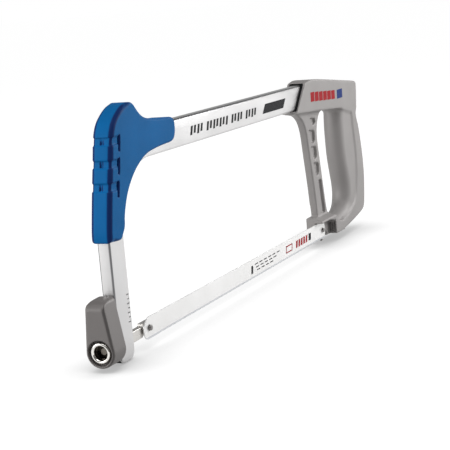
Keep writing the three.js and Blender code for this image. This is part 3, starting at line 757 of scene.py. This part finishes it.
POCKETS = [  # cast hollows in the guard: X, Z, length and height
    (299.6, 84.6, 12.0, 5.8), (296.0, 73.4, 12.0, 10.6), (297.8, 60.6, 12.0, 10.6),
    (300.2, 47.8, 12.0, 10.6),
]
GUARD_SLOT = [(303, 38.5), (309.6, 38.5), (313.6, 12), (306.6, 12)]
POCKET_DEEP = 1.9
RECESS_BACK = 318
RECESS_ROOF = 6.9
RECESS_LOW_ROOF = 4.7  # where the roof meets the back wall
RECESS_LEAN = 1.6 / 26.9
GROOVES = 3
REAR_45_PLANE = -5.7
COLLAR_HALF = 5.1
COLLAR_TOP = BAR_TOP + 0.6
COLLAR_BACK = span("socket_collar")[1].x
SOCKET_GAP = 0.25
SCREWS = [(280, 102), (289, 109.5)]
HEAD_HOLE, HEAD_SEAT, SHANK_HOLE = 3.9, 6.6, 2.2


def block_half(x):
    """Half the thickness of the upper block, which grows from the socket to the grip."""
    return np.clip(6.3 + (x - 250) * 3.2 / 88, 0, HANDLE_HALF)


def guard_bar(flat, wide):
    """The thin bar in front of the fingers, with its cast hollows on both sides."""
    guard = rounded(flat(GUARD, 4), wide - GUARD_HALF, 1.1)
    floor_of = GUARD_HALF - POCKET_DEEP - wide
    for x, z, across, tall in POCKETS:
        scallop = [
            (x - across / 2, z + tall / 2, 2), (x + across / 2, z + tall / 2 - 1.2, 2),
            (x + across / 2, z - tall / 2 + 0.6, 3), (x - across / 2 + 5, z - tall / 2, 5),
        ]
        guard = cut(guard, np.maximum(flat(scallop, 3), floor_of), 0.8)
    return cut(guard, np.maximum(flat(GUARD_SLOT, 1.5), floor_of), 0.6)


def cut_socket(body, grid):
    """Takes out the socket for the bar and, in front, for its collar."""
    under = BAR_UNDER - 0.3
    half = TUBE_HALF + SOCKET_GAP
    body = cut(body, block(grid, (230, BAR_END + 0.3), (-half, half), (under, BAR_TOP + 0.3)), 0.2)
    half = COLLAR_HALF + SOCKET_GAP
    top = COLLAR_TOP + SOCKET_GAP
    return cut(body, block(grid, (230, COLLAR_BACK + SOCKET_GAP), (-half, half), (under, top)), 0.2)


def cut_recess(body, grid):
    """Takes out the recess for the rear of the blade, the grooves in its back wall and the
    seat that holds a blade at 45 degrees."""
    back = RECESS_BACK - (grid.z - RECESS_ROOF) * RECESS_LEAN
    ceiling = np.interp(grid.x, [306.5, RECESS_BACK], [RECESS_ROOF, RECESS_LOW_ROOF])
    recess = np.maximum(np.maximum(grid.x - back, grid.z - ceiling), grid.y - SEAT)
    body = cut(body, recess, 0.5)
    for i in range(GROOVES):
        y = -8.4 + i * 1.8
        groove = block(grid, (RECESS_BACK - 2, RECESS_BACK + 2.4), (y, y + 1.1), (-20, 3.4))
        body = cut(body, groove, 0.3)
    body = cut(body, block(grid, (280, 302), (2.8, 20), (-20, 20)), 0.6)
    chamfer = np.maximum((grid.y + grid.z - REAR_45_PLANE) / math.sqrt(2), grid.x - 312)
    return cut(body, chamfer, 0.4)


def make_handle():
    grid = around("handle", 2, 0.65)

    def flat(points, default):
        return grid.flat(soften(points, default))

    wide = np.abs(grid.y)
    side = wide - HANDLE_HALF
    body = rounded(flat(BLOCK, 3), wide - block_half(grid.x), 0.9)
    grip = rounded(flat(REAR_GRIP, 8), side + 1.2, 8.0)
    grip = join(grip, rounded(flat(GRIP_STRIP, 8), side, 2.0), 1.8)
    body = join(body, grip, 3.5)
    body = join(body, guard_bar(flat, wide), 3.0)
    foot = rounded(flat(FOOT, 2), side, 0.9)
    roof = grid.z - (11 - np.maximum(wide - 2.4, 0) * 0.347)
    foot = -join(-foot, -roof, 0.8)
    body = join(body, foot, 1.2)
    body = cut_socket(body, grid)
    body = cut_recess(body, grid)
    for x, z in SCREWS:
        from_axis = np.hypot(grid.x - x, grid.z - z)
        body = cut(body, np.maximum(from_axis - HEAD_HOLE, HEAD_SEAT - grid.y), 0.3)
        body = cut(body, np.maximum(from_axis - SHANK_HOLE, -grid.y), 0.2)
    body = np.maximum(np.maximum(body, side), grid.x - HANDLE_BACK)
    handle = field_mesh("handle_casting", grid, body)
    settle(handle, 60, "frame", CASTING, ["handle"])


def make_collar():
    outline = np.array([
        (277.4, COLLAR_TOP), (259.8, BAR_UNDER), (COLLAR_BACK, BAR_UNDER), (COLLAR_BACK, COLLAR_TOP),
    ])
    collar = slab("collar", outline, -COLLAR_HALF, COLLAR_HALF, 0.15, 2)
    gap = 0.1
    inside = (-TUBE_HALF - gap, TUBE_HALF + gap)
    carve(collar, brick((230, 300), inside, (BAR_UNDER - 5, BAR_TOP + gap)))
    settle(collar, 30, "frame", BLACK, ["socket_collar"])


# ---- lever, nut and rod ----

HUB, TIP_ROUND = 8.8, 3.4
TIPS = ((-1.4, 25.8), (3.4, 25.8))  # centres of the thumb end's corners: Y, and Z above the rod
TOP_CURVE = ((-1, 23.6), (0, 24.7), (2.2, 26.9), (5.5, 28.3), (9.5, 29.0))  # from the front: X, Z
TOP_AT_BACK = 29.4


def lever_outline():
    """Across the lever, seen from the front: round the nut, and squarer at the thumb end."""
    starts = []
    for side, (y, z) in zip((1, -1), TIPS):
        starts.append(math.atan2(z, y) + side * math.acos((HUB - TIP_ROUND) / math.hypot(y, z)))
    outline = arc((0, 0), HUB, starts[0], starts[1] + 2 * math.pi, 48)
    outline += arc(TIPS[1], TIP_ROUND, starts[1], math.pi / 2, 16)
    outline += arc(TIPS[0], TIP_ROUND, math.pi / 2, starts[0], 16)
    return np.array(outline)


def make_lever():
    low, high = span("tension_lever")
    front, back = low.x, high.x
    grid = around("tension_lever", 1, 0.32)
    above_rod = grid.z - ROD_Z
    across = outline_distance(lever_outline(), grid.y[0], above_rod[0])[None]
    length = np.abs(grid.x - (front + back) / 2) - (back - front) / 2
    body = rounded(across, length, 1.9)
    along = [front + x for x, z in TOP_CURVE] + [back + 1]
    crest = above_rod - np.interp(grid.x, along, [z for x, z in TOP_CURVE] + [TOP_AT_BACK])
    body = -join(-body, -crest / 1.1, 1.4)
    radius = np.hypot(grid.y, above_rod)
    body = cut(body, np.maximum(radius - 7.3, grid.x - front - 3.2), 0.5)
    body = cut(body, radius - 5.5, 0.3)
    body = cut(body, np.maximum(radius - 6.3, back - 3.6 - grid.x), 0.3)
    body = np.maximum(body, length)
    lever = field_mesh("lever", grid, body)
    settle(lever, 55, "lever", LEVER_LOOK, ["tension_lever"])


def oil_and_shade(piece, chosen):
    """Gives the faces whose middles are chosen the look of oily steel, darkened further with painted shade
    where they lie unlit inside the nut.
    """
    piece.data.materials.append(OIL_AND_SHADE_STEEL)
    for polygon in piece.data.polygons:
        if chosen((polygon.center - ORIGIN) / MM):
            polygon.material_index = 1


def make_nut():
    low, high = span("tension_nut")
    front, back = low.x, high.x
    key, hub = 7.0, 3.9
    profile = [
        (0, front + 2.9), (hub, front + 2.9), (hub + 0.05, front + 0.9), (4.3, front + 0.35),
        (4.75, front + 0.02), (5.15, front), (5.55, front + 0.12), (5.9, front + 0.5),
        (6.05, front + 1.0), (6.05, front + 2.1), (5.9, front + 2.4), (5.2, front + 2.4),
        (5.1, front + 2.6), (5.1, back - 2.9), (4.2, back - 2.9), (4.2, back - 1.7),
        (3.5, back - 1.7), (3.5, back - 0.5), (4.2, back - 0.5), (4.2, back), (0, back),
    ]
    nut = turned("nut", profile, (0, 0, ROD_Z), (1, 0, 0), 72)
    hexagon = np.array(arc((0, ROD_Z), key / math.sqrt(3), 0, 5 * math.pi / 3, 5))
    socket = slab("cutter", hexagon, front - 2, front + 7, axes=(1, 2, 0))
    carve(nut, socket, drill(ROD_HOLE, front - 3, back + 3, (0, 0, ROD_Z), (1, 0, 0), 40))
    settle(nut, 35, "lever", CHROME, ["tension_nut"])
    # Painted shade: the nut's bore goes dark as if unlit.
    oil_and_shade(nut, lambda at: math.hypot(at.y, at.z - ROD_Z) < hub + 0.12 and at.x > front + 0.6)


def make_pin(name, node, body, axis, edge):
    """A pin of its CAD node's own size, turned smoothly with eased ends."""
    low, high = span(node)
    centre = (low + high) / 2
    axis = Vector(axis).normalized()
    if abs(axis.x) + abs(axis.y) + abs(axis.z) > 1.01:
        radius = (high.x - low.x) / 2
        half = ((high.y - low.y) / 2 - radius * math.sqrt(0.5)) * math.sqrt(2)
    else:
        size = high - low
        half = abs(size.dot(axis)) / 2
        radius = min(v for v, a in zip(size, axis) if abs(a) < 0.5) / 2
    cap = [(0, half), (radius - edge, half), (radius - edge * 0.3, half - edge * 0.3), (radius, half - edge)]
    piece = turned(name, [(r, -z) for r, z in cap] + cap[::-1], centre, axis, 48)
    settle(piece, 50, body, PIN_STEEL, [node])


def make_rod():
    low, high = span("tension_rod")
    front, shoulder, back = low.x, -28.4, high.x
    core, crest, neck, pitch, run_out = 2.05, 2.5, 1.65, 0.8, 0.6
    profile = [(0, front), (1.9, front)]
    for i in range(int((shoulder - pitch - front - run_out) / pitch)):
        x = front + run_out + i * pitch
        profile += [(core, x), (crest, x + 0.3), (crest, x + 0.45)]
    profile += [(crest, shoulder - 0.4), (crest, shoulder), (neck, shoulder), (neck, back), (0, back)]
    rod = turned("rod", profile, (0, 0, ROD_Z), (1, 0, 0), 40)
    pin = span("rod_pin")
    x = (pin[0].x + pin[1].x) / 2
    pin_hole, through = 0.95, 5
    carve(rod, drill(pin_hole, -through, through, (x, 0, ROD_Z), (0, 1, 0), 24))
    settle(rod, 35, "holder", STEEL, ["tension_rod"])
    # The thread inside the nut is oily, and darkened as painted shade.
    oil_and_shade(rod, lambda at: at.x < shoulder - 1)


def make_holder():
    low, high = span("blade_holder")
    grid = around("blade_holder", 1, 0.24)
    bottom, top = low.z, ROD_Z + 3.25
    tongue_end, head_front = -19.5, -5.5
    tongue_half, far_side, ease = 2.5, 0.9, 0.35

    def bar(x, y, z):
        ax, ay, az = past(grid, x, y, z)
        return rounded(rounded(ay, az, ease), ax, ease)

    body = bar((low.x, tongue_end), (-tongue_half, tongue_half), (bottom, top))
    body = join(body, bar((tongue_end - 1, head_front + 1), (-tongue_half, far_side), (bottom, top)), 0.8)
    body = join(body, bar((head_front, high.x), (SEAT, far_side), (bottom, high.z)), 0.8)
    plane = -5.6
    chamfer = np.maximum((grid.y + grid.z - plane) / math.sqrt(2), head_front - 0.5 - grid.x)
    body = cut(body, chamfer, 0.2)
    rod_end = np.hypot(grid.y, grid.z - ROD_Z) - 1.8
    body = cut(body, np.maximum(rod_end, grid.x - tongue_end + 0.6), 0.15)
    in_height = np.abs(grid.z - (bottom + high.z) / 2) - (high.z - bottom) / 2
    body = np.maximum(body, np.maximum(SEAT - grid.y, in_height))
    holder = field_mesh("holder", grid, body)
    settle(holder, 50, "holder", NICKEL, ["blade_holder"])


# ---- blade ----

BLADE_LOW, BLADE_HIGH = span("blade")
TOOTH_PITCH = 25.4 / 18
HOLE_RADIUS = 1.95
PIN_SPACING = (span("rear_pin")[0].x + span("rear_pin")[1].x) / 2


def slacken(piece):
    """Gives the blade or its print a mesh of its own."""
    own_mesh(piece)


def make_blade():
    half = BLADE_HIGH.z
    front, back = BLADE_LOW.x, BLADE_HIGH.x
    start, end, deep = 12.0, PIN_SPACING - 8, 0.85
    nose, corner, low_nose = 5, 4, -1.5
    outline = [(front, low_nose)]
    for t in np.linspace(0.2, 1.57, 8):
        outline.append((front + nose * (1 - math.cos(t)), low_nose - (half + low_nose) * math.sin(t)))
    outline.append((start, -half))
    teeth = []
    for i in range(int((end - start) / TOOTH_PITCH)):
        x = start + i * TOOTH_PITCH
        outline += [(x + 0.12, -half + deep), (x + 0.5, -half + deep * 0.75), (x + TOOTH_PITCH, -half)]
        teeth.append(len(outline) - 1)
    outline += arc((back - corner, -half + corner), corner, -math.pi / 2, 0, 8)
    outline += arc((back - corner, half - corner), corner, 0, math.pi / 2, 8)
    outline += [(front + 7, half), (front + 5.6, half - 0.25), (front + 3.6, half - 1.7)]
    outline += [(front + 0.9, 2.6), (front + 0.2, 1.8), (front, 0.9)]
    blade = slab("saw_blade", np.array(outline), BLADE_LOW.y, BLADE_HIGH.y, 0.06, 1)
    count = len(outline)
    levels = len(blade.data.vertices) // count
    most_sway, teeth_per_wave = 0.17, 5
    for order, index in enumerate(teeth):
        sway = most_sway * math.sin(2 * math.pi * order / teeth_per_wave)
        for level in range(levels):
            blade.data.vertices[level * count + index].co.y += sway * MM
    carve(blade, *[drill(HOLE_RADIUS, -9, 2, (x, 0, 0), (0, 1, 0), 48) for x in (0, PIN_SPACING)])
    settle(blade, 30, "blade", BLADE_LOOK, ["blade"])
    slacken(blade)


# ---- prints: plain marks with no letters ----

INK_IN, INK_OUT = 0.02, -0.03  # how far the ink reaches under and over the surface


def marks(name, shapes, surface, body, material):
    """Thin closed slabs of ink. shapes are closed outlines in X and Z; surface gives Y at X."""
    points, faces = [], []
    for shape in shapes:
        base = len(points)
        count = len(shape)
        for lift in (INK_IN, INK_OUT):
            points += [(x, surface(x) + lift, z) for x, z in shape]
        for i in range(count):
            j = (i + 1) % count
            faces.append([base + i, base + j, base + count + j, base + count + i])
        faces.append([base + i for i in range(count)][::-1])
        faces.append([base + count + i for i in range(count)])
    return settle(make(name, points, faces), 30, body, material)


def leaning(x, low, high, width, lean):
    """One slanted stroke."""
    top = x + (high - low) * lean
    return [(x, low), (x + width, low), (top + width, high), (top, high)]


def print_tube():
    """Strokes in groups and a block along the bar, and a short scale down the leg."""
    strokes = []
    x, pitch, space = 78.0, 5.1, 4.2
    for group in (4, 7, 4, 4):
        for i in range(group):
            low = 102.4 if i % 2 else 101.6
            strokes.append(leaning(x, low, 107.2, 3.0, 0.38))
            x += pitch
        x += space
    strokes.append(leaning(198, 101.4, 107.8, 40, 0.9))
    marks("bar_marks", strokes, lambda x: -TUBE_HALF, "frame", INK_BLACK)
    ticks = []
    for i in range(7):
        width = 1.8 if i % 2 else 2.8
        z = 9 + i * 2.6
        ticks.append(leaning(LEG_BACK - 1.6 - width, z, z + 0.7, width, 0))
    marks("leg_marks", ticks, lambda x: -TUBE_HALF, "frame", INK_GREY)


def print_handle():
    """A red band of strokes, falling towards the back, and a blue block after it."""
    red = [leaning(286.4 + i * 8.5, 100.4 - i * 0.5, 107.5 - i * 0.55, 7.6, 0.05) for i in range(6)]
    marks("handle_marks_red", red, lambda x: -block_half(x), "frame", INK_RED)
    blue = leaning(341.4, 97.2, 104.2, 13.0, 0.05)
    marks("handle_marks_blue", [blue], lambda x: -block_half(x), "frame", INK_BLUE)


def print_blade():
    """Rows of dashes between two dark blocks, and in red an open box and some strokes."""
    dark = [leaning(154.5, -3.0, 2.4, 3.2, 0.2), leaning(268.5, -2.2, 3.0, 5.0, 0.2)]
    for row, z in enumerate((2.4, 0.2, -2.0)):
        for i in range(6 - row):
            dark.append(leaning(162 + i * 8.2 + row * 1.5, z - 0.35, z + 0.35, 5.6, 0.2))
    slacken(marks("blade_marks_dark", dark, lambda x: BLADE_LOW.y, "blade", INK_BLACK))
    low, high, thin, across = -2.4, 2.8, 1.2, 13
    red = [leaning(221, low, high, thin, 0.2), leaning(221.5, high - 0.8, high, across, 0.2)]
    red += [leaning(220.6, low, low + 0.8, across, 0.2), leaning(232.6, low, high, thin, 0.2)]
    red += [leaning(241 + i * 5.2, low, high, 3.6, 0.3) for i in range(5)]
    slacken(marks("blade_marks_red", red, lambda x: BLADE_LOW.y, "blade", INK_RED))


make_tube()
make_grip()
make_handle()
make_collar()
make_lever()
make_nut()
make_rod()
make_holder()
make_blade()
print_tube()
print_handle()
print_blade()
for axis, tail, node_tail, edge in (((0, 1, 0), "", "", 0.35), ((0, 1, 1), "_low", "_45", 0.25)):
    for end, body in (("front", "holder"), ("rear", "frame")):
        make_pin(f"pin_{end}{tail}", f"{end}_pin{node_tail}", body, axis, edge)

# The CAD's own solids that stay as they are and only take a look.
PLAIN_STEEL = (
    "bar_insert", "handle_screw_front", "handle_screw_rear", "thrust_washer", "nut_clip", "rod_pin",
)
for node in ("leg_plug", *PLAIN_STEEL):
    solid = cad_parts[node]
    solid.data.materials.clear()
    solid.data.materials.append(STEEL if node in PLAIN_STEEL else BLACK)

# ---- stage, light and camera ----


def direction_of(azimuth, elevation):
    azimuth, elevation = math.radians(azimuth), math.radians(elevation)
    return Vector((math.sin(azimuth) * math.cos(elevation), -math.cos(azimuth) * math.cos(elevation),
                   math.sin(elevation)))


def stage_sheet(name, corners, place, material):
    """A flat sheet of the set: a floor or a card. Corners and place are in metres."""
    mesh = bpy.data.meshes.new(name)
    mesh.from_pydata(corners, [], [[0, 1, 2, 3]])
    mesh.materials.append(material)
    sheet = bpy.data.objects.new(name, mesh)
    sheet.location = place
    bpy.context.scene.collection.objects.link(sheet)
    return sheet


def floor_material():
    """White to the eye and in reflections, darker as a source of light, shaded near contact."""
    material = bpy.data.materials.new("floor_look")
    material.use_nodes = True
    tree = material.node_tree
    tree.nodes.clear()
    contact = add_node(tree, "ShaderNodeAmbientOcclusion", Distance=0.055)
    contact.samples = 16
    shade = add_node(tree, "ShaderNodeMapRange", Value=contact.outputs["AO"], From_Min=0.35,
                     From_Max=0.97, To_Min=0.40, To_Max=0.97)
    glow = add_node(tree, "ShaderNodeEmission", Strength=shade.outputs["Result"])
    matt = add_node(tree, "ShaderNodeBsdfDiffuse", Color=(0.16, 0.16, 0.16, 1))
    unlit = add_node(tree, "ShaderNodeBsdfDiffuse", Color=(0.35, 0.35, 0.35, 1))
    shown = add_node(tree, "ShaderNodeAddShader")
    rays = add_node(tree, "ShaderNodeLightPath")
    choose = add_node(tree, "ShaderNodeMixShader", Fac=rays.outputs["Is Diffuse Ray"])
    output = add_node(tree, "ShaderNodeOutputMaterial")
    for source, target in (
        (glow, shown.inputs[0]), (matt, shown.inputs[1]), (shown, choose.inputs[1]),
        (unlit, choose.inputs[2]), (choose, output.inputs["Surface"]),
    ):
        tree.links.new(source.outputs[0], target)
    return material


def area_light(name, direction, distance, size, power):
    """A softbox turned towards the middle of the saw."""
    light = bpy.data.lights.new(name, "AREA")
    light.shape = "RECTANGLE"
    light.size, light.size_y = size
    light.energy = power
    lamp = bpy.data.objects.new(name, light)
    outward = direction_of(*direction)
    lamp.location = Vector((0, 0, 0.06)) + outward * distance
    lamp.rotation_euler = outward.to_track_quat("Z", "Y").to_euler()
    bpy.context.scene.collection.objects.link(lamp)


FLOOR_DROP = 0.0002  # below the saw, so that the two never share a plane
reach = 30
floor_corners = [(-reach, -reach, 0), (reach, -reach, 0), (reach, reach, 0), (-reach, reach, 0)]
stage_sheet("floor", floor_corners, (0, 0, CAD_BOX[0][2] - FLOOR_DROP), floor_material())

# A pale card behind the saw, seen only in reflections at a low angle: it lights the bar's top.
SWEEP_AZIMUTH = 114.2
sweep_corners = [(-0.9, 0, 0.02), (0.9, 0, 0.02), (0.9, 0, 0.6), (-0.9, 0, 0.6)]
sweep_place = direction_of(SWEEP_AZIMUTH, 0) * 1.4
sweep_look = Paint("sweep_look", Base_Color=(0, 0, 0, 1), Emission_Color=(1, 1, 1, 1),
                   Emission_Strength=0.55)
sweep = stage_sheet("sweep", sweep_corners, sweep_place, sweep_look.material)
sweep.rotation_euler.z = math.radians(SWEEP_AZIMUTH)
for kind in ("camera", "diffuse", "transmission", "volume_scatter", "shadow"):
    setattr(sweep, "visible_" + kind, False)

# Softboxes: direction as azimuth and elevation, distance, size and power.
area_light("left_softbox", (-132, 16), 1.3, (0.9, 0.7), 9)
area_light("right_softbox", (44, 20), 1.3, (0.9, 0.7), 14)
area_light("top_softbox", (-75, 62), 1.5, (1.0, 0.8), 8)

# The room is white to the eye and dim as a source of light.
DIM = 0.16
world = bpy.data.worlds.new("studio")
world.use_nodes = True
bpy.context.scene.world = world
tree = world.node_tree
background = tree.nodes["Background"]
background.inputs["Color"].default_value = (1, 1, 1, 1)
seen = add_node(tree, "ShaderNodeLightPath").outputs["Is Camera Ray"]
tone = add_node(tree, "ShaderNodeMapRange", Value=seen, To_Min=DIM, To_Max=1.0)
plug(tree, background.inputs["Strength"], tone.outputs["Result"])

CAMERA_AZIMUTH, CAMERA_ELEVATION, CAMERA_ROLL = -65.784, 9.418, -4.970
CAMERA_PLACE = Vector((-683.48, -364.61, 183.81))
camera_data = bpy.data.cameras.new("camera")
camera_data.sensor_width = 36.0
camera_data.lens = 109.76
camera_data.clip_end = 100
camera = bpy.data.objects.new("camera", camera_data)
roll = math.radians(CAMERA_ROLL)
away = direction_of(CAMERA_AZIMUTH, CAMERA_ELEVATION)
level = Vector((0, 0, 1)).cross(away).normalized()
upright = away.cross(level)
right = level * math.cos(roll) + upright * math.sin(roll)
up = upright * math.cos(roll) - level * math.sin(roll)
pose = Matrix((right, up, away)).transposed().to_4x4()
pose.translation = ORIGIN + CAMERA_PLACE * MM
camera.matrix_world = pose
bpy.context.scene.collection.objects.link(camera)
bpy.context.scene.camera = camera

bpy.context.scene.view_settings.view_transform = "Standard"

bpy.context.view_layer.update()
